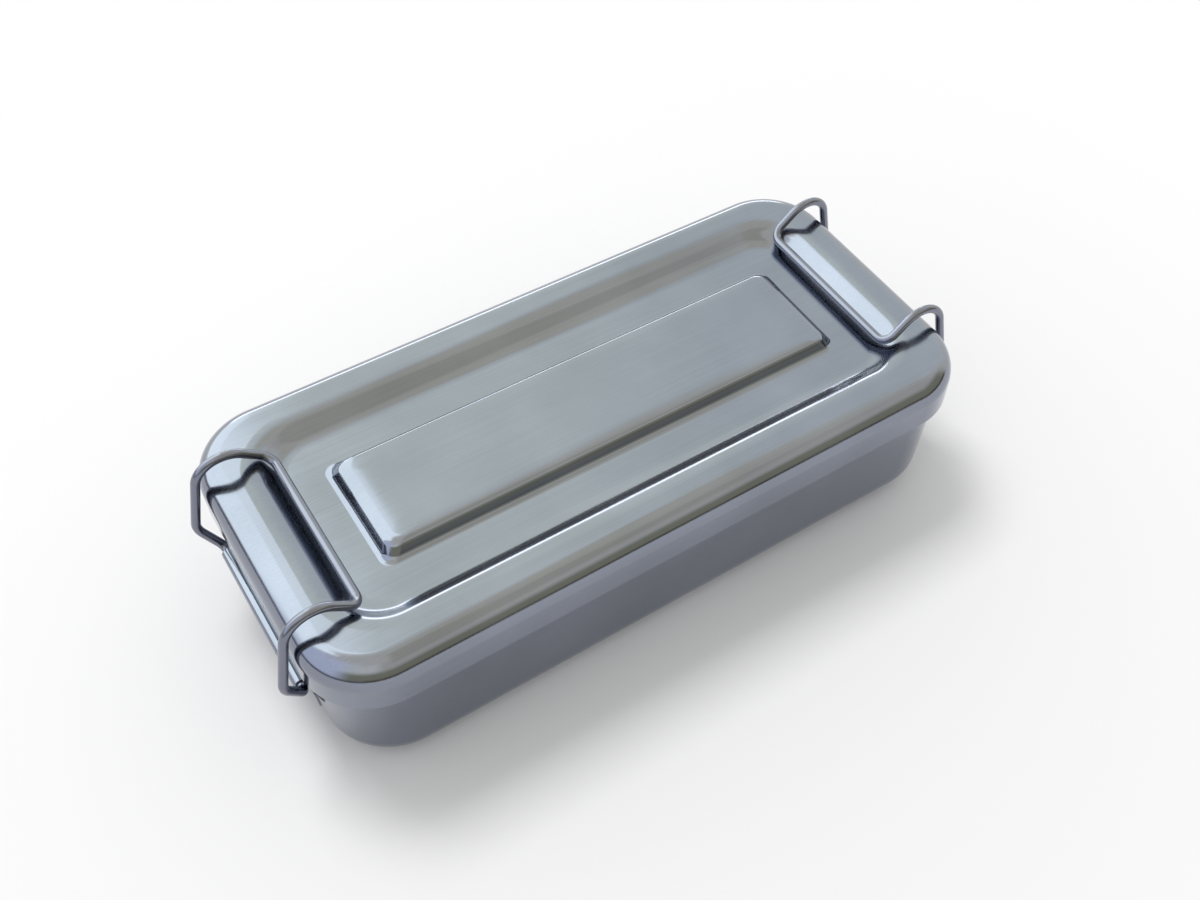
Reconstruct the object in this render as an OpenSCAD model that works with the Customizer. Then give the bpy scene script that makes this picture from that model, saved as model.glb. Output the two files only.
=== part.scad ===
// Pressed stainless steel instrument case. A deep-drawn tray takes a lid with a skirt,
// and a wire bail at each end swings over the lid and lies in its pressed valley.
// Lengths are in millimetres. The origin is the middle of the underside, X runs along
// the length and Z points up.

/* [Case] */
// Length over the lid
case_length = 200; // [190:1:240]
// Width over the lid
case_width = 96; // [88:1:130]
// Height from the table to the top of the lid's rim
case_height = 50; // [46:1:70]
// Thickness of the steel sheet
sheet = 0.6; // [0.5:0.05:0.8]
// Plan radius of the lid's corners, over the skirt
corner_radius = 20; // [18:0.5:22]

/* [Lid] */
// Height of the skirt, from its cut edge to the top of the rim
skirt_height = 14.5; // [12:0.5:18]
// Outer radius of the bend between rim and skirt
rim_bend = 7; // [5:0.25:8]
// Distance from the skirt to the inner edge of the flat rim, along the sides
side_rim = 10; // [8.5:0.25:11]
// Distance from the skirt to the inner edge of the flat rim, at the ends
end_rim = 9; // [8.25:0.25:10]
// Depth of the valley below the rim
valley_depth = 4; // [3:0.1:4.5]
// Width of the slope from the rim down to the valley
valley_slope = 11.5; // [10:0.25:12]
// Plan radius of the valley's outer corners
valley_corner = 7; // [5:0.5:8]
// Length of the plateau, over its flat top
plateau_length = 133; // [110:0.5:135]
// Width of the plateau, over its flat top
plateau_width = 28; // [22:0.5:30]
// Height of the plateau above the valley
plateau_height = 4; // [3:0.1:4.5]
// Width of the plateau's wall
plateau_slope = 5; // [4.5:0.25:6]
// Plan radius of the corners of the plateau's top
plateau_corner = 1; // [0.5:0.25:3]

/* [Tray] */
// Gap between the inside of the skirt and the tray's rim
skirt_gap = 0.4; // [0.3:0.05:0.7]
// Lean of the drawn wall from upright, in degrees
wall_lean = 3.2; // [1:0.2:5]
// Outer radius of the bend between wall and floor
floor_bend = 10; // [6:0.5:12]
// Plan radius of the tray's corners, at its rim
tray_corner = 21.5; // [20:0.25:24]
// Gap between the tray's rim and the inside of the lid's bend
seat_gap = 0.3; // [0.2:0.05:0.5]

/* [Hinge brackets] */
// Height of the hinge line above the table
hinge_height = 24; // [22:0.5:26]
// Length of the bracket's weld plate
plate_length = 60; // [56:1:64]
// Height of the bracket's weld plate
plate_height = 6; // [5:0.25:7]
// Length of the rolled tube
tube_length = 47; // [40:1:48]
// Radial running gap between the wire and the tube
hinge_gap = 0.06; // [0.03:0.01:0.1]

/* [Bails] */
// Diameter of the wire
wire_d = 2.5; // [2:0.1:2.8]
// Distance between the arms where they leave the crossbar
bail_width = 54; // [49:0.5:56]
// How much further out each arm stands at its foot
arm_splay = 1.25; // [0.75:0.25:2]
// Gap between the crossbar and the valley it lies in
bar_gap = 1.8; // [1.2:0.1:2.2]
// Distance from the end of the skirt to the middle of the crossbar
bar_reach = 19.1; // [18:0.1:20.5]
// Steepness of the arm as it leaves the crossbar, in degrees
arm_rise = 39; // [36:1:42]
// Outward lean of the arm beside the skirt, in degrees
arm_lean = 13; // [10:1:15]
// Gap between the arm and the top of the skirt
arm_gap = 1.2; // [0.8:0.1:1.6]
// Centreline radius of the arch over the rim
arch_bend = 8.25; // [7:0.25:9]
// Centreline radius of the crossbar's corners
bar_bend = 3.75; // [3:0.25:5]
// Centreline radius of the bends at the foot of an arm
foot_bend = 2.5; // [2:0.1:2.8]
// Height of the foot's outer bend above the hinge line
foot_height = 9; // [8:0.25:10]
// Length of wire held in the tube at each side
pin_length = 18; // [10:0.5:19]

/* [Hidden] */
steel = [0.72, 0.74, 0.76];
wire_steel = [0.60, 0.60, 0.62];
$fn = 48;

half_l = case_length / 2;
half_w = case_width / 2;

// Lid levels and radii
valley_top = case_height - valley_depth;
plateau_top = valley_top + plateau_height;
skirt_edge = case_height - skirt_height;
bend_centre = case_height - rim_bend;

// Bends of a pressed step, as shares of the two arcs that alone would make it
slope_foot_share = 0.49;
slope_head_share = 0.5;
wall_foot_share = 0.43;
wall_head_share = 0.53;

// A drawn wall is a hair thinner than its bends, at each face, and ends inside them
draw_thin = 0.02;
drawn_sheet = sheet - 2 * draw_thin;
lap = 0.1;

// Tray levels: the rim stops seat_gap under the inside of the lid's bend
tray_inset = sheet + skirt_gap;
bend_inside = rim_bend - sheet;
seat_reach = bend_inside - skirt_gap;
tray_top = bend_centre + sqrt(pow(bend_inside - seat_gap, 2) - pow(seat_reach, 2));
bend_reach = floor_bend - draw_thin + (tray_top - floor_bend) * sin(wall_lean);
floor_corner = round(100 * (tray_corner - bend_reach / cos(wall_lean))) / 100;
floor_inset = tray_inset + tray_corner - floor_corner;
wall_length = (tray_top - floor_bend) * cos(wall_lean) + (tray_corner - floor_corner) * sin(wall_lean);

// Hinge line: the tube stands off the leaning end wall
wire_r = wire_d / 2;
bore_r = wire_r + hinge_gap;
tube_r = bore_r + sheet;
tube_lift = 0.1;
wall_x = half_l - tray_inset - (tray_top - hinge_height) * tan(wall_lean);
hinge_x = wall_x + (tube_r + tube_lift) / cos(wall_lean);

// Bail stations, at the +X end: crossbar, the point over the arch where its two sides
// would meet, the foot and the mouth of the tube
mouth_reach = 2.6;
wire_lap = 0.05;
swell = 0.02;
bar_x = half_l - bar_reach;
bar_z = valley_top + bar_gap + wire_r;
bar_y = bail_width / 2;
foot_y = bar_y + arm_splay;
arm_x = half_l + arm_gap + wire_r / cos(arm_lean);
arm_slope = tan(arm_lean);
rise_slope = tan(arm_rise);
apex_z = (bar_z + rise_slope * (arm_x + arm_slope * bend_centre - bar_x)) / (1 + rise_slope * arm_slope);
apex_x = arm_x + arm_slope * (bend_centre - apex_z);
foot_z = hinge_height + foot_height;
foot_x = arm_x + arm_slope * (bend_centre - foot_z);
mouth_y = tube_length / 2 + mouth_reach;
pin_y = tube_length / 2 - pin_length;

// A rectangle with round corners, from its half sizes
module round_plate(hx, hy, r) {
    square([2 * (hx - r), 2 * hy], center = true);
    square([2 * hx, 2 * (hy - r)], center = true);
    for (sx = [-1, 1], sy = [-1, 1])
        translate([sx * (hx - r), sy * (hy - r)]) circle(r);
}

// A section drawn outwards from the corner axis, carried round a rectangle whose
// corners turn about the axes at (cx, cy)
module press_round(cx, cy) {
    for (turn = [0:3]) {
        along = turn % 2 == 0 ? cy : cx;
        off = turn % 2 == 0 ? cx : cy;
        rotate([0, 0, 90 * turn]) {
            translate([off, along, 0]) rotate([90, 0, 0]) linear_extrude(2 * along) children();
            translate([off, along, 0]) rotate_extrude(angle = 90) children();
        }
    }
}

// A sheet bent through an arc about (x, z) between two directions, outer radius r
module bent_sheet(x, z, r, from, to) {
    reach = 2 * r;
    middle = (from + to) / 2;
    translate([x, z]) intersection() {
        difference() {
            circle(r);
            circle(r - sheet);
        }
        polygon([
            [0, 0],
            [reach * cos(from), reach * sin(from)],
            [reach * cos(middle), reach * sin(middle)],
            [reach * cos(to), reach * sin(to)]
        ]);
    }
}

// Sum of the radii of two arcs that alone would make a step of a given run and rise
function step_arcs(run, rise) = (run * run + rise * rise) / (2 * rise);

// Length and steepness of the straight stretch between smaller bends
function step_length(run, rise, bends) = sqrt(run * run + pow(rise - bends, 2) - bends * bends);
function step_angle(run, rise, bends) =
    atan2(rise - bends, run) + atan2(bends, step_length(run, rise, bends));

// Section of a pressed step: the sheet's top face climbs from (x, z) by rise over run.
// The shares give the inside radius of the lower bend and the outside radius of the upper.
module step_sheet(x, z, run, rise, foot_share, head_share) {
    foot = foot_share * step_arcs(run, rise);
    head = head_share * step_arcs(run, rise);
    angle = step_angle(run, rise, foot + head);
    span = step_length(run, rise, foot + head);
    bent_sheet(x, z + foot, foot + sheet, -90, angle - 90);
    translate([x + foot * sin(angle), z + foot * (1 - cos(angle))])
        rotate(angle) translate([-lap, draw_thin - sheet]) square([span + 2 * lap, drawn_sheet]);
    bent_sheet(x + run, z + rise - head, head, 90, 90 + angle);
}

module lid() {
    flat_x = half_l - rim_bend;
    flat_y = half_w - rim_bend;
    flat_r = corner_radius - rim_bend;
    slope_x = half_l - end_rim;
    slope_y = half_w - side_rim;
    slope_r = valley_corner + valley_slope;
    floor_x = slope_x - valley_slope;
    floor_y = slope_y - valley_slope;
    top_x = plateau_length / 2;
    top_y = plateau_width / 2;
    base_r = plateau_corner + plateau_slope;
    color(steel) {
        // Skirt and the bend into the rim
        press_round(half_l - corner_radius, half_w - corner_radius) {
            translate([corner_radius - sheet, skirt_edge]) square([sheet, bend_centre - skirt_edge]);
            bent_sheet(flat_r, bend_centre, rim_bend, 0, 90);
        }
        // Flat rim
        translate([0, 0, case_height - sheet]) linear_extrude(sheet) difference() {
            round_plate(flat_x, flat_y, flat_r);
            round_plate(slope_x, slope_y, slope_r);
        }
        // Slope into the valley
        press_round(floor_x - valley_corner, floor_y - valley_corner)
            step_sheet(valley_corner, valley_top, valley_slope, valley_depth, slope_foot_share, slope_head_share);
        // Valley floor
        translate([0, 0, valley_top - sheet]) linear_extrude(sheet) difference() {
            round_plate(floor_x, floor_y, valley_corner);
            round_plate(top_x + plateau_slope, top_y + plateau_slope, base_r);
        }
        // Wall of the plateau, drawn from its foot inwards and turned round
        press_round(top_x - plateau_corner, top_y - plateau_corner)
            translate([base_r, 0]) mirror([1, 0])
                step_sheet(0, valley_top, plateau_slope, plateau_height, wall_foot_share, wall_head_share);
        // Flat top of the plateau
        translate([0, 0, plateau_top - sheet]) linear_extrude(sheet)
            round_plate(top_x, top_y, plateau_corner);
    }
}

module base_tray() {
    hx = half_l - tray_inset;
    hy = half_w - tray_inset;
    color(steel) {
        press_round(hx - tray_corner, hy - tray_corner) {
            translate([tray_corner, tray_top]) rotate(-wall_lean)
                translate([-drawn_sheet, -wall_length - lap]) square([drawn_sheet, wall_length + lap]);
            bent_sheet(floor_corner, floor_bend, floor_bend, -90, -wall_lean);
        }
        linear_extrude(sheet) round_plate(half_l - floor_inset, half_w - floor_inset, floor_corner);
    }
}

// A bracket at the +X end: a weld plate that follows the leaning wall, with a rolled tube
module hinge_bracket() {
    color(steel) translate([wall_x, 0, hinge_height]) rotate([90, 0, 0]) difference() {
        union() {
            linear_extrude(plate_length, center = true) rotate(-wall_lean)
                translate([0, -plate_height / 2]) square([sheet, plate_height]);
            translate([hinge_x - wall_x, 0]) cylinder(r = tube_r, h = tube_length, center = true);
        }
        translate([hinge_x - wall_x, 0]) cylinder(r = bore_r, h = plate_length + 2, center = true);
    }
}

// Direction from a to b, and the axis, turn and setback of a bend at b
function toward(a, b) = (b - a) / norm(b - a);
function bend_axis(a, b, c) = toward([0, 0, 0], cross(toward(a, b), toward(b, c)));
function bend_turn(a, b, c) = acos(toward(a, b) * toward(b, c));
function setback(a, b, c, r) = r * tan(bend_turn(a, b, c) / 2);

// Wire along a list of corners, with a bend radius for each. It is drawn from the wire's
// own end, one straight length and bend after another, where Z runs along the wire and Y
// is the axis of the bend before. A straight length ends just inside the bends beside it.
module bent_wire(corners, radii, i = 0, axis = [0, 0, -1]) {
    last = i + 2 == len(corners);
    a = corners[i];
    b = corners[i + 1];
    r = radii[i + 1];
    cut_a = i == 0 ? 0 : setback(corners[i - 1], a, b, radii[i]);
    cut_b = last ? 0 : setback(a, b, corners[i + 2], r);
    lap_a = i == 0 ? 0 : wire_lap;
    lap_b = last ? 0 : wire_lap;
    run = norm(b - a) - cut_a - cut_b;
    translate([0, 0, -lap_a]) cylinder(r = wire_r, h = run + lap_a + lap_b);
    if (!last) {
        turn = bend_turn(a, b, corners[i + 2]);
        next_axis = bend_axis(a, b, corners[i + 2]);
        spin = atan2(cross(axis, next_axis) * toward(a, b), axis * next_axis);
        translate([0, 0, run]) rotate(spin) translate([r, 0, 0]) {
            rotate([90, 0, 180]) rotate_extrude(angle = turn) translate([r, 0]) circle(wire_r + swell);
            rotate([0, turn, 0]) translate([-r, 0, 0]) bent_wire(corners, radii, i + 1, next_axis);
        }
    }
}

// A bail at the +X end, each half from the middle of the crossbar to its pin in the tube
module bail() {
    half = [
        [bar_x, 0, bar_z],
        [bar_x, bar_y, bar_z],
        [apex_x, bar_y, apex_z],
        [foot_x, foot_y, foot_z],
        [hinge_x, mouth_y, hinge_height],
        [hinge_x, pin_y, hinge_height]
    ];
    bends = [0, bar_bend, arch_bend, foot_bend, foot_bend, 0];
    color(wire_steel) for (side = [0, 1])
        mirror([0, side, 0]) translate(half[0]) rotate([-90, 0, 0]) bent_wire(half, bends);
}

module right_hinge_bracket() { hinge_bracket(); }
module left_hinge_bracket() { mirror([1, 0, 0]) hinge_bracket(); }
module right_bail() { bail(); }
module left_bail() { mirror([1, 0, 0]) bail(); }

base_tray();
lid();
left_hinge_bracket();
right_hinge_bracket();
left_bail();
right_bail();
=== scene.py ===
"""Looks of the pressed steel instrument case: sheet and wire finishes, studio and camera.

Lengths in the functions are in millimetres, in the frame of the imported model: the origin
is the middle of the underside, X runs along the length and Z points up.
"""

import math

import bpy
import numpy as np
from mathutils import Matrix


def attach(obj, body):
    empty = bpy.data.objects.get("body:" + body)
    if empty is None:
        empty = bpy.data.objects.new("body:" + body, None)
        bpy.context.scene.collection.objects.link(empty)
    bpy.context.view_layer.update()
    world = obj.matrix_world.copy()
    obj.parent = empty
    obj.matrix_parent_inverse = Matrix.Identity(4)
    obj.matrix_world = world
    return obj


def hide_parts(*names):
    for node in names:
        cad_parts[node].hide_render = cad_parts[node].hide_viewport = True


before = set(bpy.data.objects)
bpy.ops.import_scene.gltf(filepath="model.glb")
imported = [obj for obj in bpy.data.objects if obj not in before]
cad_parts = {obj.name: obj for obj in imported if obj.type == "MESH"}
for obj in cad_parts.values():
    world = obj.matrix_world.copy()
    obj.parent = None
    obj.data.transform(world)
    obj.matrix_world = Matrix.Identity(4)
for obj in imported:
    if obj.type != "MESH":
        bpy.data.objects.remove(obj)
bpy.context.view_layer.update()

# Metres in a millimetre
MM = 0.001

# Sizes of the part's source, where no comment says otherwise. The lid: over all, its skirt and
# rim, its valley, and the plateau with half its length and width on top
HALF_L, HALF_W, HEIGHT, SHEET = 100.0, 48.0, 50.0, 0.6
CORNER, SKIRT, RIM_BEND = 20.0, 14.5, 7.0
SIDE_RIM, END_RIM = 10.0, 9.0
VALLEY_DEPTH, VALLEY_SLOPE, VALLEY_CORNER = 4.0, 11.5, 7.0
TOP_X, TOP_Y, TOP_RISE, TOP_SLOPE = 66.5, 14.0, 4.0, 5.0
# Shares for step_bends, of the valley's slope and of the plateau's wall, which is less steep
# than the solid's
SLOPE_SHARES, WALL_SHARES = (0.49, 0.5), (0.41, 0.5)
# The plateau's shoulder: it begins to fall this far inside its edge, to this slope in degrees
SHOULDER, SHOULDER_FALL = 2.6, 7.0
# Plan radius of the plateau's corners: where its flat ends, and down its wall
FLAT_CORNER, WALL_CORNER = 5.0, 3.5
# How much wider than at the sides the plateau's ends are, where they slope least
END_STRETCH = 2.2
# The tray: its gap to the skirt, the lean of its walls in degrees, its bends, and the gap
# between its rim and the lid's bend
SKIRT_GAP, LEAN, FLOOR_BEND, TRAY_CORNER, SEAT_GAP = 0.4, 3.2, 10.0, 21.5, 0.3
# The hinge brackets: the hinge line's level, plate and tube, the wire's play in the tube, and
# the tube's distance from the tray
HINGE_Z, PLATE_L, PLATE_H, TUBE_L, HINGE_GAP, TUBE_LIFT = 24.0, 60.0, 6.0, 47.0, 0.06, 0.1
# The bails: the wire, the crossbar's and the arms' places, and the arms' angles in degrees
WIRE_R = 1.25
BAR_Y, ARM_SPLAY, BAR_GAP, BAR_REACH = 27.0, 1.25, 1.8, 19.1
ARM_RISE, ARM_LEAN, ARM_GAP = 39.0, 13.0, 1.2
# The bend at an arm's foot is rounder than the solid's 2.5 mm, as in the photograph
ARCH_BEND, BAR_BEND, FOOT_BEND, FOOT_RISE = 8.25, 3.75, 6.0, 9.0
PIN, MOUTH_REACH, MOUTH_BEND = 18.0, 2.6, 2.5
# Rounding of cut edges: of the pressed sheets, of the tube's seam and ends, of the plate's
# long and short edges, and of the wire's ends
CUT_EDGE = 0.2
SEAM_CUT, TUBE_CUT = 0.1, 0.08
PLATE_CUT, PLATE_END_CUT = 0.15, 0.12
WIRE_CUT = 0.35

# Levels that follow from them
VALLEY_Z = HEIGHT - VALLEY_DEPTH
TOP_Z = VALLEY_Z + TOP_RISE
SKIRT_Z = HEIGHT - SKIRT
BEND_Z = HEIGHT - RIM_BEND
TRAY_INSET = SHEET + SKIRT_GAP
TRAY_Z = BEND_Z + math.sqrt((RIM_BEND - SHEET - SEAT_GAP) ** 2 - (RIM_BEND - TRAY_INSET) ** 2)
LEAN_SIN, LEAN_COS = math.sin(math.radians(LEAN)), math.cos(math.radians(LEAN))
WALL_X = HALF_L - TRAY_INSET - (TRAY_Z - HINGE_Z) * LEAN_SIN / LEAN_COS
TUBE_R = WIRE_R + HINGE_GAP + SHEET
HINGE_X = WALL_X + (TUBE_R + TUBE_LIFT) / LEAN_COS


def linear(code):
    """A colour written as an sRGB hex code, as the linear values that shaders take."""
    parts = [int(code[i:i + 2], 16) / 255 for i in (1, 3, 5)]
    return tuple(c / 12.92 if c <= 0.04045 else ((c + 0.055) / 1.055) ** 2.4 for c in parts) + (1.0,)


def add_node(tree, kind, settings=None, values=None, links=None):
    """Adds a shader node with its settings, socket values, and links into its sockets."""
    node = tree.nodes.new(kind)
    for name, value in (settings or {}).items():
        setattr(node, name, value)
    for name, value in (values or {}).items():
        node.inputs[name].default_value = value
    for name, source in (links or {}).items():
        tree.links.new(source, node.inputs[name])
    return node


def make_mesh(name, points, faces, normals, material, uv=None):
    """A mesh piece from points in millimetres, quads or triangles and the surface's own normals."""
    mesh = bpy.data.meshes.new(name)
    mesh.from_pydata((points * MM).tolist(), [], faces)
    mesh.polygons.foreach_set("use_smooth", np.ones(len(mesh.polygons), bool))
    if uv is not None:
        layer = mesh.uv_layers.new(name="along")
        corners = np.zeros(len(mesh.loops), np.int32)
        mesh.loops.foreach_get("vertex_index", corners)
        layer.data.foreach_set("uv", uv[corners].astype(np.float32).ravel())
    mesh.normals_split_custom_set_from_vertices(normals.tolist())
    mesh.materials.append(material)
    piece = bpy.data.objects.new(name, mesh)
    bpy.context.scene.collection.objects.link(piece)
    return piece


def grid_faces(rows, columns, closed=True):
    """Quads between neighbouring rows of a grid whose columns run round in a ring."""
    last = columns if closed else columns - 1
    i, j = np.meshgrid(np.arange(rows - 1), np.arange(last), indexing="ij")
    k = (j + 1) % columns
    quads = np.stack([i * columns + j, i * columns + k, (i + 1) * columns + k, (i + 1) * columns + j], -1)
    return quads.reshape(-1, 4).tolist()


# Points round one corner, and along the long and the short sides, of every pressed ring
CORNER_STEPS, LONG_STEPS, SHORT_STEPS = 24, 44, 18


def ring(cx, cy, radius):
    """Points and outward directions round a rectangle with round corners.

    The corners are arcs of the given radius about (+-cx, +-cy), taken in equal turns, and the
    sides between them are divided evenly.
    """
    points, outward = [], []
    for turn in range(4):
        sx = (1, -1, -1, 1)[turn]
        sy = (1, 1, -1, -1)[turn]
        nx = (1, -1, -1, 1)[(turn + 1) % 4]
        ny = (1, 1, -1, -1)[(turn + 1) % 4]
        a = np.radians(90 * turn + np.linspace(0, 90, CORNER_STEPS, endpoint=False))
        out = np.stack([np.cos(a), np.sin(a)], -1)
        points.append(np.array([sx * cx, sy * cy]) + radius * out)
        outward.append(out)
        steps = LONG_STEPS if turn % 2 == 0 else SHORT_STEPS
        a = math.radians(90 * (turn + 1))
        out = np.array([math.cos(a), math.sin(a)])
        t = np.linspace(0, 1, steps, endpoint=False)[:, None]
        start = np.array([sx * cx, sy * cy]) + radius * out
        end = np.array([nx * cx, ny * cy]) + radius * out
        points.append(start + (end - start) * t)
        outward.append(np.tile(out, (steps, 1)))
    return np.concatenate(points), np.concatenate(outward)


def arc(centre, height, radius, start, end, steps, side=1.0):
    """Profile points on an arc: (distance from the corner axis, level, and the surface's normal).

    side is 1 where the surface is the outside of the arc and -1 where it is the inside.
    """
    t = np.radians(np.linspace(start, end, steps + 1))
    out, up = np.cos(t), np.sin(t)
    return np.stack([centre + radius * out, height + radius * up, side * out, side * up], -1)


def step_bends(run, rise, shares):
    """Foot radius, head radius and steepest angle of a pressed step.

    The radii are shares of (run^2 + rise^2) / (2 rise), the sum of the radii of two arcs
    that alone would make the step. The angle is that of the line tangent to both.
    """
    foot, head = (share * (run * run + rise * rise) / (2 * rise) for share in shares)
    span = math.sqrt(run * run + rise * rise - 2 * rise * (foot + head))
    return foot, head, math.degrees(math.atan2(rise - foot - head, run) + math.atan2(foot + head, span))


def pressed_shell(name, profile, material, cut):
    """One pressed sheet: a face drawn as rounded-rectangle rings, and the same face moved in.

    profile holds rows from the middle of the face to the sheet's cut edge. A row is (half
    length, half width, corner radius, level, normal out, normal up, rate, stretch), where rate
    and stretch are how much the corner radius and the half length grow for each millimetre
    that the half width grows. The second face is the first moved back by the sheet's thickness
    along the normals, and a rounded edge of radius cut joins the two. In the direction (c, s)
    the normal's upright part is multiplied by rate + (stretch - rate) c + (1 - rate) s, which
    is 1 along the sides and stretch at the ends.
    """
    rows = np.array(profile, float)
    rows[:, :2] -= rows[:, 2:3]
    back = rows.copy()
    back[:, 2:4] -= SHEET * rows[:, 4:6]
    back[:, 4:6] *= -1
    # The cut edge: from the face round to its back, in a half turn with a flat between
    out, up = rows[-1, 4], rows[-1, 5]
    along = np.array([-up, out]) if rows[0, 5] < 0 else np.array([up, -out])
    rows[-1, 2:4] -= cut * along
    back[-1, 2:4] -= cut * along
    edge = []
    for turn in np.radians(np.linspace(0, 180, 9)):
        normal = math.cos(turn) * np.array([out, up]) + math.sin(turn) * along
        inset = cut if turn <= math.pi / 2 else SHEET - cut
        middle = rows[-1, 2:4] - inset * np.array([out, up])
        edge.append([rows[-1, 0], rows[-1, 1], *(middle + cut * normal), *normal, 1, 1])
    rows = np.concatenate([rows, np.array(edge)[1:-1], back[::-1]])
    points, normals = [], []
    for cx, cy, radius, level, out, up, rate, stretch in rows:
        flat, outward = ring(cx, cy, radius)
        points.append(np.column_stack([flat, np.full(len(flat), level)]))
        upright = up * (rate + np.abs(outward) @ [stretch - rate, 1 - rate])
        size = np.hypot(out, upright)[:, None]
        normals.append(np.column_stack([outward * out, upright]) / size)
    count = len(points[0])
    faces = grid_faces(len(rows), count)
    points = np.concatenate(points)
    normals = np.concatenate(normals)
    # The two middles
    poles = np.array([[0, 0, rows[0, 3]], [0, 0, rows[-1, 3]]])
    points = np.concatenate([points, poles])
    normals = np.concatenate([normals, [[0, 0, rows[0, 5]], [0, 0, rows[-1, 5]]]])
    first, last = len(points) - 2, len(points) - 1
    base = (len(rows) - 1) * count
    faces += [[first, (j + 1) % count, j] for j in range(count)]
    faces += [[last, base + j, base + (j + 1) % count] for j in range(count)]
    if rows[0, 5] > 0:
        faces = [face[::-1] for face in faces]
    return make_mesh(name, points, faces, normals, material)


def carried_round(half_x, half_y, corner, rows):
    """Profile rows of a section turned about the corner axes of a rounded rectangle.

    rows are (distance from the corner axis, level, normal out, normal up).
    """
    rows = np.array(rows, float)
    grown = rows[:, :1] - corner
    return np.column_stack([half_x + grown, half_y + grown, rows, np.ones((len(rows), 2))])


def plateau_rows():
    """The plateau: a flat, a shoulder that falls gently, and a bent wall down to the valley.

    The shoulder is an arc of radius SHOULDER / sin(SHOULDER_FALL). The wall's two bends are
    those of step_bends, the upper one started where its slope is the shoulder's, and the
    levels between are stretched to meet the shoulder. The corner radius eases along the
    shoulder from FLAT_CORNER to WALL_CORNER, and stays at that down the wall. At the ends the
    same levels lie further apart above the steepest one, by up to END_STRETCH.
    """
    foot, head, angle = step_bends(TOP_SLOPE, TOP_RISE, WALL_SHARES)
    fall = math.radians(SHOULDER_FALL)
    soft = SHOULDER / math.sin(fall)
    wall = np.concatenate([
        arc(0, TOP_Z - head, head, 90, 90 - angle, steps=16),
        arc(TOP_SLOPE, VALLEY_Z + foot, foot, 270 - angle, 270, steps=10, side=-1),
    ])
    wall = wall[wall[:, 0] > head * math.sin(fall)]
    drop = (soft - head) * (1 - math.cos(fall))
    share = (wall[:, 1] - VALLEY_Z) / (wall[0, 1] - VALLEY_Z)
    wall[:, 1] -= drop * share
    t = np.linspace(0, fall, 9)
    shoulder = np.stack(
        [soft * np.sin(t) - SHOULDER, TOP_Z - soft * (1 - np.cos(t)), np.sin(t), np.cos(t)], -1)
    rows = []
    for section, start, end in ((shoulder, FLAT_CORNER, WALL_CORNER), (wall, WALL_CORNER, WALL_CORNER)):
        out, run = section[:, :1], section[-1, 0] - section[0, 0]
        corner = start + (end - start) * (out - section[0, 0]) / run
        rate = np.full((len(section), 1), (end - start) / run)
        rows.append(np.column_stack([out, TOP_Y + out, corner, section[:, 1:], rate]))
    rows = np.concatenate(rows)
    tilt = np.arctan2(rows[:, 4], rows[:, 5])
    stretch = 1 + (END_STRETCH - 1) * np.sqrt(1 - tilt / tilt.max())
    stretch[np.argmax(tilt):] = 1
    steps = np.diff(rows[:, 0]) * (stretch[1:] + stretch[:-1]) / 2
    rows[:, 0] = TOP_X + TOP_SLOPE - np.append(np.cumsum(steps[::-1])[::-1], 0)
    return np.column_stack([rows, stretch])


def lid_profile():
    """The lid's upper face: plateau, its wall, valley, slope, flat rim, bend and skirt."""
    foot, head, angle = step_bends(VALLEY_SLOPE, VALLEY_DEPTH, SLOPE_SHARES)
    outer = VALLEY_CORNER + VALLEY_SLOPE
    slope = np.concatenate([
        arc(VALLEY_CORNER, VALLEY_Z + foot, foot, -90, angle - 90, steps=14, side=-1),
        arc(outer, HEIGHT - head, head, 90 + angle, 90, steps=14),
    ])
    skirt = np.concatenate([
        arc(CORNER - RIM_BEND, BEND_Z, RIM_BEND, 90, 0, steps=24),
        [[CORNER, SKIRT_Z, 1, 0]],
    ])
    return np.concatenate([
        plateau_rows(),
        carried_round(HALF_L - END_RIM, HALF_W - SIDE_RIM, outer, slope),
        carried_round(HALF_L, HALF_W, CORNER, skirt),
    ])


def tray_profile():
    """The tray's outer face: flat underside, bottom bend and leaning wall."""
    reach = FLOOR_BEND + (TRAY_Z - FLOOR_BEND) * LEAN_SIN
    foot = TRAY_CORNER - reach / LEAN_COS
    rows = np.concatenate([
        arc(foot, FLOOR_BEND, FLOOR_BEND, -90, -LEAN, steps=28),
        [[TRAY_CORNER, TRAY_Z, LEAN_COS, -LEAN_SIN]],
    ])
    return carried_round(HALF_L - TRAY_INSET, HALF_W - TRAY_INSET, TRAY_CORNER, rows)


def bail_corners(end):
    """Corners and bend radii of one whole bail, from pin to pin, at the end +1 or -1."""
    bar_x = HALF_L - BAR_REACH
    bar_z = VALLEY_Z + BAR_GAP + WIRE_R
    lean, rise = math.tan(math.radians(ARM_LEAN)), math.tan(math.radians(ARM_RISE))
    arm_x = HALF_L + ARM_GAP + WIRE_R / math.cos(math.radians(ARM_LEAN))
    apex_z = (bar_z + rise * (arm_x + lean * BEND_Z - bar_x)) / (1 + rise * lean)
    apex_x = arm_x + lean * (BEND_Z - apex_z)
    foot_z = HINGE_Z + FOOT_RISE
    foot_x = arm_x + lean * (BEND_Z - foot_z)
    mouth = TUBE_L / 2 + MOUTH_REACH
    half = [
        (HINGE_X, TUBE_L / 2 - PIN, HINGE_Z, 0),
        (HINGE_X, mouth, HINGE_Z, MOUTH_BEND),
        (foot_x, BAR_Y + ARM_SPLAY, foot_z, FOOT_BEND),
        (apex_x, BAR_Y, apex_z, ARCH_BEND),
        (bar_x, BAR_Y, bar_z, BAR_BEND),
    ]
    whole = half + [(x, -y, z, r) for x, y, z, r in reversed(half)]
    corners = np.array([[end * x, y, z] for x, y, z, r in whole])
    return corners, [r for x, y, z, r in whole]


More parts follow.
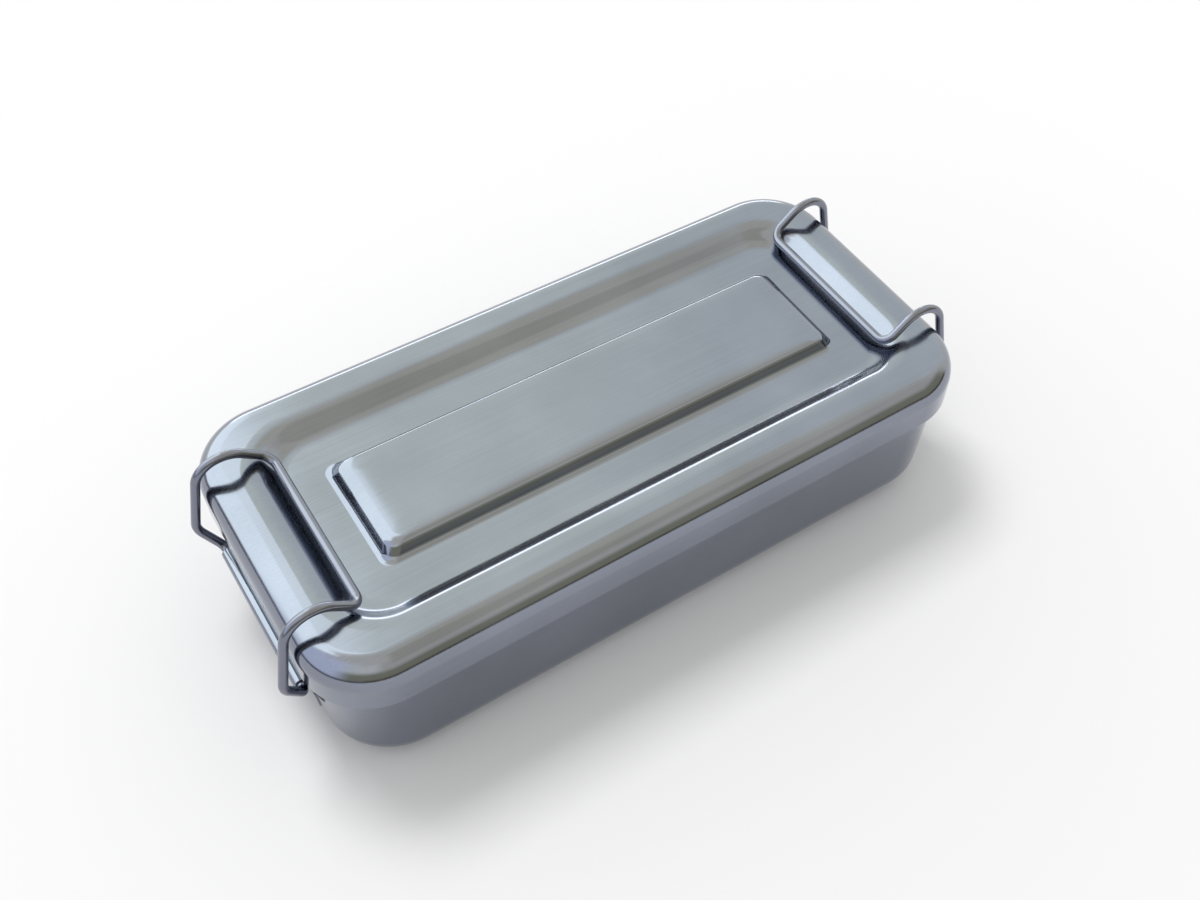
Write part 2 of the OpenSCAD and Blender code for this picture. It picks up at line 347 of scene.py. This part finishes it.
def wire_path(corners, radii, step):
    """Centre line with round bends: points, directions and a frame that never twists.

    Each straight length ends radius * tan(turn / 2) short of its corner. The bend turns the
    point, the direction and the frame together about the bend's own axis.
    """
    def unit(v):
        return v / np.linalg.norm(v)

    legs = [unit(b - a) for a, b in zip(corners[:-1], corners[1:])]
    side = unit(np.cross(legs[0], [0.0, 0.0, 1.0]))
    points, ways, sides = [], [], []
    cut = [0.0] + [r * math.tan(math.acos(np.clip(u @ v, -1, 1)) / 2)
                   for u, v, r in zip(legs[:-1], legs[1:], radii[1:-1])] + [0.0]
    for i, way in enumerate(legs):
        run = np.linalg.norm(corners[i + 1] - corners[i]) - cut[i] - cut[i + 1]
        start = corners[i] + way * cut[i]
        t = np.linspace(0, run, max(2, int(run / (4 * step)) + 2))
        if i > 0:
            t = t[1:]
        points.append(start + t[:, None] * way)
        ways.append(np.tile(way, (len(t), 1)))
        sides.append(np.tile(side, (len(t), 1)))
        if i + 1 == len(legs):
            break
        turn = math.acos(np.clip(way @ legs[i + 1], -1, 1))
        axis = unit(np.cross(way, legs[i + 1]))
        centre = start + run * way + radii[i + 1] * np.cross(axis, way)
        a = np.linspace(0, turn, max(3, int(turn * radii[i + 1] / step) + 1))[1:, None]

        def turned(v):
            return v * np.cos(a) + np.cross(axis, v) * np.sin(a) + axis * (axis @ v) * (1 - np.cos(a))

        points.append(centre + turned(start + run * way - centre))
        ways.append(turned(way))
        sides.append(turned(side))
        side = sides[-1][-1]
    return np.concatenate(points), np.concatenate(ways), np.concatenate(sides)


def wire(name, corners, radii, material):
    """A round wire: circles of the wire's radius square to its centre line, with rounded ends."""
    around, end_steps, bend_step = 28, 4, 0.45
    points, ways, sides = wire_path(corners, radii, bend_step)
    ups = np.cross(ways, sides)
    a = np.linspace(0, 2 * math.pi, around, endpoint=False)
    circle = np.cos(a)[None, :, None] * sides[:, None] + np.sin(a)[None, :, None] * ups[:, None]
    body = points[:, None] + WIRE_R * circle
    # Each end is a small rounding of the wire's edge and a flat
    t = np.radians(np.linspace(90, 0, end_steps, endpoint=False))[:, None, None]
    ends = []
    for index, way in ((0, -ways[0]), (-1, ways[-1])):
        ring_dir = circle[index][None]
        normal = np.cos(t) * ring_dir + np.sin(t) * way
        middle = points[index] - WIRE_CUT * way + (WIRE_R - WIRE_CUT) * ring_dir
        ends.append((middle + WIRE_CUT * normal, normal))
    first, last = ends[0], (ends[1][0][::-1], ends[1][1][::-1])
    body[0] += WIRE_CUT * ways[0]
    body[-1] -= WIRE_CUT * ways[-1]
    grid = np.concatenate([first[0], body, last[0]])
    normals = np.concatenate([first[1], circle, last[1]])
    length = np.concatenate([[0], np.cumsum(np.linalg.norm(np.diff(grid.mean(1), axis=0), axis=1))])
    uv = np.stack(np.broadcast_arrays(length[:, None] * MM, a[None] / (2 * math.pi)), -1)
    rows = len(grid)
    faces = grid_faces(rows, around)
    flat_points = np.concatenate([grid.reshape(-1, 3), [points[0], points[-1]]])
    flat_normals = np.concatenate([normals.reshape(-1, 3), [-ways[0], ways[-1]]])
    flat_uv = np.concatenate([uv.reshape(-1, 2), [[0, 0], [length[-1] * MM, 0]]])
    n = rows * around
    faces += [[n, (j + 1) % around, j] for j in range(around)]
    faces += [[n + 1, n - around + j, n - around + (j + 1) % around] for j in range(around)]
    return make_mesh(name, flat_points, faces, flat_normals, material, flat_uv)


def strip_section(line, cut):
    """Outline of a bent sheet strip: its middle line moved half the sheet to each side.

    Both ends are rounded by cut, in turns of 30 degrees that start where the line's own
    points end. Returns the outline's points and outward normals, from the middle of the first
    end round to it again.
    """
    way = np.gradient(line, axis=0)
    way /= np.linalg.norm(way, axis=1)[:, None]
    side = np.stack([way[:, 1], -way[:, 0]], -1)
    half = SHEET / 2
    drawn_in = np.zeros(len(line))
    drawn_in[0], drawn_in[-1] = cut, -cut
    middle = line + drawn_in[:, None] * way
    t = np.radians([30, 60, 90])[:, None]

    def corner(index, ahead, flank, spin):
        normal = np.cos(spin) * flank + np.sin(spin) * ahead
        return line[index] - cut * ahead + (half - cut) * flank + cut * normal, normal

    parts = [
        corner(0, -way[0], side[0], t[::-1]),
        (middle + half * side, side),
        corner(-1, way[-1], side[-1], t),
        corner(-1, way[-1], -side[-1], t[::-1]),
        ((middle - half * side)[::-1], -side[::-1]),
        corner(0, -way[0], -side[0], t),
    ]
    return np.concatenate([p for p, n in parts]), np.concatenate([n for p, n in parts])


def carried_strip(line, half_length, cut, end_cut):
    """A strip section in (x, z) carried along Y, with the edges of its end faces rounded.

    end_cut is smaller than cut, so that the end faces keep a little of the section's corners.
    """
    outline, outward = strip_section(line, cut)
    t = np.radians(np.concatenate([np.linspace(-90, 0, 4), np.linspace(0, 90, 4)]))
    lean, half = np.sin(t), np.repeat([-1, 1], 4)
    where = half * (half_length - end_cut) + end_cut * lean
    flat = outline[None] - end_cut * (1 - np.cos(t))[:, None, None] * outward[None]
    rows, count = flat.shape[:2]
    along = np.broadcast_to(where[:, None], (rows, count))
    points = np.stack([flat[..., 0], along, flat[..., 1]], -1).reshape(-1, 3)
    up = np.cos(t)[:, None] * np.ones((1, count))
    endways = np.broadcast_to(lean[:, None], (rows, count))
    normals = np.stack([up * outward[:, 0], endways, up * outward[:, 1]], -1)
    faces = [face[::-1] for face in grid_faces(rows, count)]
    # The end faces: strips between the outline's two long sides
    j = np.arange(count // 2 - 1)
    quads = np.stack([j, j + 1, count - 2 - j, count - 1 - j], -1)
    faces += quads.tolist() + (quads[:, ::-1] + (rows - 1) * count).tolist()
    return points, normals.reshape(-1, 3), faces


def hinge_bracket(name, end, material):
    """A weld plate that leans with the wall, and a strip rolled round the hinge line."""
    middle_r = WIRE_R + HINGE_GAP + SHEET / 2
    # The tube's seam faces the plate and is open by this angle to each side
    seam = 6
    t = np.radians(np.linspace(180 + seam, 540 - seam, 72))
    roll = np.stack([HINGE_X + middle_r * np.cos(t), HINGE_Z + middle_r * np.sin(t)], -1)
    t = np.linspace(-PLATE_H / 2, PLATE_H / 2, 13)
    plate = np.stack([
        WALL_X + LEAN_COS * SHEET / 2 + LEAN_SIN * t,
        HINGE_Z - LEAN_SIN * SHEET / 2 + LEAN_COS * t,
    ], -1)
    parts = [
        carried_strip(roll, TUBE_L / 2, SEAM_CUT, TUBE_CUT),
        carried_strip(plate, PLATE_L / 2, PLATE_CUT, PLATE_END_CUT),
    ]
    points = np.concatenate([p for p, n, f in parts])
    normals = np.concatenate([n for p, n, f in parts])
    shift = len(parts[0][0])
    faces = parts[0][2] + [[shift + v for v in face] for face in parts[1][2]]
    if end < 0:
        points[:, 0] *= -1
        normals[:, 0] *= -1
        faces = [face[::-1] for face in faces]
    return make_mesh(name, points, faces, normals, material)


def polished_sheet():
    """Polished stainless sheet: a mirror with the faint lengthwise grain of its rolling."""
    material = bpy.data.materials.new("polished_stainless_sheet")
    material.use_nodes = True
    tree = material.node_tree
    shader = tree.nodes["Principled BSDF"]
    where = add_node(tree, "ShaderNodeTexCoord").outputs["Object"]
    # Grain: long in X, a third of a millimetre wide across it
    grain_at = add_node(tree, "ShaderNodeMapping", values={"Scale": (18, 2600, 2600)},
                        links={"Vector": where})
    grain = add_node(tree, "ShaderNodeTexNoise", values={"Scale": 1.0, "Detail": 4.0, "Roughness": 0.6},
                     links={"Vector": grain_at.outputs["Vector"]})
    # Smears of handling: a few centimetres across
    smear = add_node(tree, "ShaderNodeTexNoise", values={"Scale": 38.0, "Detail": 3.0, "Roughness": 0.5},
                     links={"Vector": where})
    mixed = add_node(tree, "ShaderNodeMath", {"operation": "MULTIPLY_ADD"}, {1: 0.65},
                     {0: grain.outputs["Fac"], 2: smear.outputs["Fac"]})
    rough = add_node(tree, "ShaderNodeMapRange",
                     values={"From Min": 0.5, "From Max": 1.15, "To Min": 0.10, "To Max": 0.19},
                     links={"Value": mixed.outputs["Value"]})
    # The grain and the smears show as slightly paler and darker streaks too
    streaks = add_node(tree, "ShaderNodeMapRange", values={"From Min": 0.55, "From Max": 1.1},
                       links={"Value": mixed.outputs["Value"]})
    # Sockets 6 and 7, and output 2, are the node's colour ones
    tone = add_node(tree, "ShaderNodeMix", {"data_type": "RGBA"},
                    {6: linear("#828793"), 7: linear("#8D929F")}, {0: streaks.outputs["Result"]})
    # The sheet's own faint waves, which bend its reflections
    waves = add_node(tree, "ShaderNodeTexNoise", values={"Scale": 26.0, "Detail": 1.0},
                     links={"Vector": where})
    grain_relief = add_node(tree, "ShaderNodeBump", values={"Strength": 0.11, "Distance": 0.00002},
                            links={"Height": grain.outputs["Fac"]})
    relief = add_node(tree, "ShaderNodeBump", values={"Strength": 1.0, "Distance": 0.00020},
                      links={"Height": waves.outputs["Fac"], "Normal": grain_relief.outputs["Normal"]})
    shader.inputs["Metallic"].default_value = 1.0
    tree.links.new(tone.outputs[2], shader.inputs["Base Color"])
    tree.links.new(rough.outputs["Result"], shader.inputs["Roughness"])
    tree.links.new(relief.outputs["Normal"], shader.inputs["Normal"])
    return material


def drawn_wire():
    """Bright drawn wire: a soft mirror with fine lines that run along the wire."""
    material = bpy.data.materials.new("bright_drawn_wire")
    material.use_nodes = True
    tree = material.node_tree
    shader = tree.nodes["Principled BSDF"]
    where = add_node(tree, "ShaderNodeTexCoord").outputs["UV"]
    lines_at = add_node(tree, "ShaderNodeMapping", values={"Scale": (60, 42, 1)}, links={"Vector": where})
    lines = add_node(tree, "ShaderNodeTexNoise", values={"Scale": 1.0, "Detail": 3.0},
                     links={"Vector": lines_at.outputs["Vector"]})
    rough = add_node(tree, "ShaderNodeMapRange",
                     values={"From Min": 0.3, "From Max": 0.7, "To Min": 0.14, "To Max": 0.24},
                     links={"Value": lines.outputs["Fac"]})
    relief = add_node(tree, "ShaderNodeBump", values={"Strength": 0.15, "Distance": 0.00002},
                      links={"Height": lines.outputs["Fac"]})
    shader.inputs["Base Color"].default_value = linear("#7E818E")
    shader.inputs["Metallic"].default_value = 1.0
    tree.links.new(rough.outputs["Result"], shader.inputs["Roughness"])
    tree.links.new(relief.outputs["Normal"], shader.inputs["Normal"])
    return material


def seen_or_mirrored(tree):
    """1 for what the camera, a reflection or clear material shows, 0 for what only gives light."""
    path = add_node(tree, "ShaderNodeLightPath")
    seen = add_node(tree, "ShaderNodeMath", {"operation": "MAXIMUM"},
                    links={0: path.outputs["Is Camera Ray"], 1: path.outputs["Is Glossy Ray"]})
    return add_node(tree, "ShaderNodeMath", {"operation": "MAXIMUM"},
                    links={0: seen.outputs["Value"], 1: path.outputs["Is Transmission Ray"]}).outputs["Value"]


# Distances in metres over which the floor fades to white, and half its own width
FADE_START, FADE_END, FLOOR_REACH = 0.09, 0.30, 3.0


def studio_floor():
    """Pale matt floor that keeps the case's shadow and is lost in the white away from it."""
    material = bpy.data.materials.new("matt_white_floor")
    material.use_nodes = True
    tree = material.node_tree
    shader = tree.nodes["Principled BSDF"]
    shader.inputs["Base Color"].default_value = linear("#F7F7F7")
    shader.inputs["Roughness"].default_value = 1.0
    shader.inputs["Specular IOR Level"].default_value = 0.0
    where = add_node(tree, "ShaderNodeTexCoord").outputs["Object"]
    away = add_node(tree, "ShaderNodeVectorMath", {"operation": "LENGTH"}, links={0: where})
    fade = add_node(tree, "ShaderNodeMapRange", {"interpolation_type": "SMOOTHSTEP"},
                    {"From Min": FADE_START, "From Max": FADE_END}, {"Value": away.outputs["Value"]})
    share = add_node(tree, "ShaderNodeMath", {"operation": "MULTIPLY"},
                     links={0: fade.outputs["Result"], 1: seen_or_mirrored(tree)})
    white = add_node(tree, "ShaderNodeEmission")
    white.inputs["Color"].default_value = (1, 1, 1, 1)
    floor_look = add_node(
        tree, "ShaderNodeMixShader",
        links={0: share.outputs["Value"], 1: shader.outputs["BSDF"], 2: white.outputs["Emission"]})
    tree.links.new(floor_look.outputs["Shader"], tree.nodes["Material Output"].inputs["Surface"])
    corners = [(sx * FLOOR_REACH, sy * FLOOR_REACH, 0) for sx, sy in ((-1, -1), (1, -1), (1, 1), (-1, 1))]
    mesh = bpy.data.meshes.new("studio_floor")
    mesh.from_pydata(corners, [], [(0, 1, 2, 3)])
    mesh.materials.append(material)
    floor = bpy.data.objects.new("studio_floor", mesh)
    bpy.context.scene.collection.objects.link(floor)


# Distance of the lamp and the surround from the case, in metres
STUDIO_REACH = 1.4
# What the surround shows between its patches
REST_COLOUR, REST_LEVEL = "#FFFAEA", 1.15


def toward(azimuth, elevation):
    """Unit vectors for directions in degrees: azimuth from +Y towards +X, elevation above the table."""
    a, e = np.radians(azimuth), np.radians(elevation)
    return np.stack([np.sin(a) * np.cos(e), np.cos(a) * np.cos(e), np.sin(e)], -1)


def surround(patches):
    """What the steel reflects: a dome of radius STUDIO_REACH that only reflections see.

    Each patch is (first and last azimuth, first and last elevation, softness, colour, level),
    with all angles in degrees, and level 1 in white is as bright as the white background. A
    patch covers those before it, by 1 inside and falling smoothly to 0 across its edges. The
    dome has a point every step degrees.
    """
    step = 2.0
    azimuth, elevation = np.arange(-180, 180, step), np.arange(-10, 90 + step, step)
    e, a = np.meshgrid(elevation, azimuth, indexing="ij")
    shade = np.ones(e.shape + (3,)) * np.array(linear(REST_COLOUR)[:3]) * REST_LEVEL

    def inside(value, first, last, soft):
        t = np.clip((np.minimum(value - first, last - value) + soft / 2) / soft, 0, 1)
        return t * t * (3 - 2 * t)

    for (a0, a1), (e0, e1), soft, colour, level in patches:
        turned = (a - (a0 + a1) / 2 + 180) % 360 - 180 + (a0 + a1) / 2
        weight = (inside(turned, a0, a1, soft) * inside(e, e0, e1, soft))[..., None]
        shade = shade * (1 - weight) + weight * level * np.array(linear(colour)[:3])
    points = STUDIO_REACH * toward(a, e).reshape(-1, 3)
    mesh = bpy.data.meshes.new("studio_surround")
    mesh.from_pydata(points.tolist(), [], grid_faces(len(elevation), len(azimuth)))
    layer = mesh.attributes.new("glow", "FLOAT_VECTOR", "POINT")
    layer.data.foreach_set("vector", shade.astype(np.float32).ravel())
    material = bpy.data.materials.new("studio_surround")
    material.use_nodes = True
    material.cycles.emission_sampling = "NONE"
    tree = material.node_tree
    tree.nodes.clear()
    glow = add_node(tree, "ShaderNodeAttribute", {"attribute_name": "glow"})
    glow = add_node(tree, "ShaderNodeEmission", links={"Color": glow.outputs["Vector"]})
    add_node(tree, "ShaderNodeOutputMaterial", links={"Surface": glow.outputs["Emission"]})
    mesh.materials.append(material)
    dome = bpy.data.objects.new("studio_surround", mesh)
    dome.visible_camera = False
    dome.visible_diffuse = False
    dome.visible_shadow = False
    bpy.context.scene.collection.objects.link(dome)


def soft_lamp(name, azimuth, elevation, size, light):
    """A square soft lamp of the given size in metres, STUDIO_REACH away and turned to the case.

    light is what it gives a surface square to it, where 1 makes a white one white.
    Reflections leave it out, as the surround stands for what they show.
    """
    back = toward(azimuth, elevation)
    right = np.cross([0, 0, 1.0], back)
    right /= np.linalg.norm(right)
    lamp = bpy.data.lights.new(name, "AREA")
    lamp.shape = "SQUARE"
    lamp.size = size
    lamp.energy = light * math.pi ** 2 * STUDIO_REACH ** 2
    holder = bpy.data.objects.new(name, lamp)
    turn = np.stack([right, np.cross(back, right), back], -1)
    holder.matrix_world = Matrix([[*row, p] for row, p in zip(turn, STUDIO_REACH * back)] + [[0, 0, 0, 1]])
    holder.visible_camera = False
    holder.visible_glossy = False
    bpy.context.scene.collection.objects.link(holder)


def world_light(diffuse_level):
    """Plain white surroundings: what is seen or reflected is white, what lights is softer."""
    world = bpy.data.worlds.new("studio_world")
    bpy.context.scene.world = world
    world.use_nodes = True
    tree = world.node_tree
    tree.nodes.clear()
    level = add_node(tree, "ShaderNodeMapRange", values={"To Min": diffuse_level, "To Max": 1.0},
                     links={"Value": seen_or_mirrored(tree)})
    glow = add_node(tree, "ShaderNodeBackground", values={"Color": (1, 1, 1, 1)},
                    links={"Strength": level.outputs["Result"]})
    add_node(tree, "ShaderNodeOutputWorld", links={"Surface": glow.outputs["Background"]})


def photo_camera():
    """The camera that a fit of the case's outline and straight lines gave."""
    # In pixels of the photograph: its size, the fitted focal length and the view's middle
    width, height = 1200, 900
    focal = 1306.78
    middle = (686.5, 453.04)
    azimuth, elevation, roll = (math.radians(a) for a in (-36.9128, 51.1763, 3.6868))
    across, above, distance = 27.526, 15.623, 394.045
    back = np.array([math.sin(azimuth) * math.cos(elevation), -math.cos(azimuth) * math.cos(elevation),
                     math.sin(elevation)])
    level = np.array([math.cos(azimuth), math.sin(azimuth), 0.0])
    upright = np.cross(back, level)
    right = math.cos(roll) * level + math.sin(roll) * upright
    up = -math.sin(roll) * level + math.cos(roll) * upright
    place = (across * right + above * up + distance * back) * MM
    data = bpy.data.cameras.new("photo_camera")
    data.sensor_width = 36.0
    data.lens = focal / width * data.sensor_width
    data.shift_x = -(middle[0] - width / 2) / width
    data.shift_y = (middle[1] - height / 2) / width
    data.clip_start = 0.01
    camera = bpy.data.objects.new("photo_camera", data)
    turn = np.stack([right, up, back], -1)
    camera.matrix_world = Matrix([[*row, p] for row, p in zip(turn, place)] + [[0, 0, 0, 1]])
    bpy.context.scene.collection.objects.link(camera)
    bpy.context.scene.camera = camera


# The pieces, each on its body and in place of its solid
sheet_steel = polished_sheet()
wire_steel = drawn_wire()

pieces = [
    (pressed_shell("pressed_lid", lid_profile(), sheet_steel, CUT_EDGE), "lid", "lid", "sheet_steel"),
    (pressed_shell("drawn_tray", tray_profile(), sheet_steel, CUT_EDGE), "tray", "base_tray", "sheet_steel"),
]
for side, end in (("left", -1), ("right", 1)):
    corners, radii = bail_corners(end)
    pieces.append((wire(side + "_bail_wire", corners, radii, wire_steel),
                   side + "_bail", side + "_bail", "wire_steel"))
    pieces.append((hinge_bracket(side + "_rolled_bracket", end, sheet_steel),
                   "tray", side + "_hinge_bracket", "sheet_steel"))
for piece, body, node, slot in pieces:
    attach(piece, body)
    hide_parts(node)

# The studio
studio_floor()
world_light(diffuse_level=0.68)
soft_lamp("key_lamp", azimuth=-10, elevation=66, size=0.5, light=0.42)
surround([
    ((-10, 95), (12, 68), 14, "#FAFFF9", 1.22),      # wall behind, in its own shade
    ((-30, 34), (8, 68), 34, "#FAFFF0", 1.52),       # wall behind, beside the window
    ((40, 130), (58, 92), 14, "#FFFAE3", 1.06),      # ceiling
    ((108, 205), (8, 64), 12, "#FFFAEB", 1.02),      # grey wall behind the camera
    ((124, 185), (50, 92), 16, "#FFFAE3", 0.87),     # ceiling over the camera, in shade
    ((205, 275), (8, 62), 14, "#FFFFF4", 1.3),       # pale wall, front left
    ((106, 258), (2, 33), 16, "#BAB89E", 1.0),       # foot of both, in shade
    ((-115, -52), (0, 62), 24, "#EAF0FF", 1.5),      # daylight, far left
    ((-58, 3.4), (9, 67), 2, "#F8FFFB", 2.7),        # window
    ((-5, 45), (5, 13), 2, "#FFFFFF", 4.5),          # low window
    ((212, 325), (-14, 6), 8, "#626880", 0.8),       # painted dark reflection, bluish, low on the left
    ((105, 220), (-14, 7), 5, "#6E6848", 0.65),      # painted shade on the camera's side, low down, that only reflections show
])
photo_camera()

bpy.context.scene.view_settings.view_transform = "Standard"
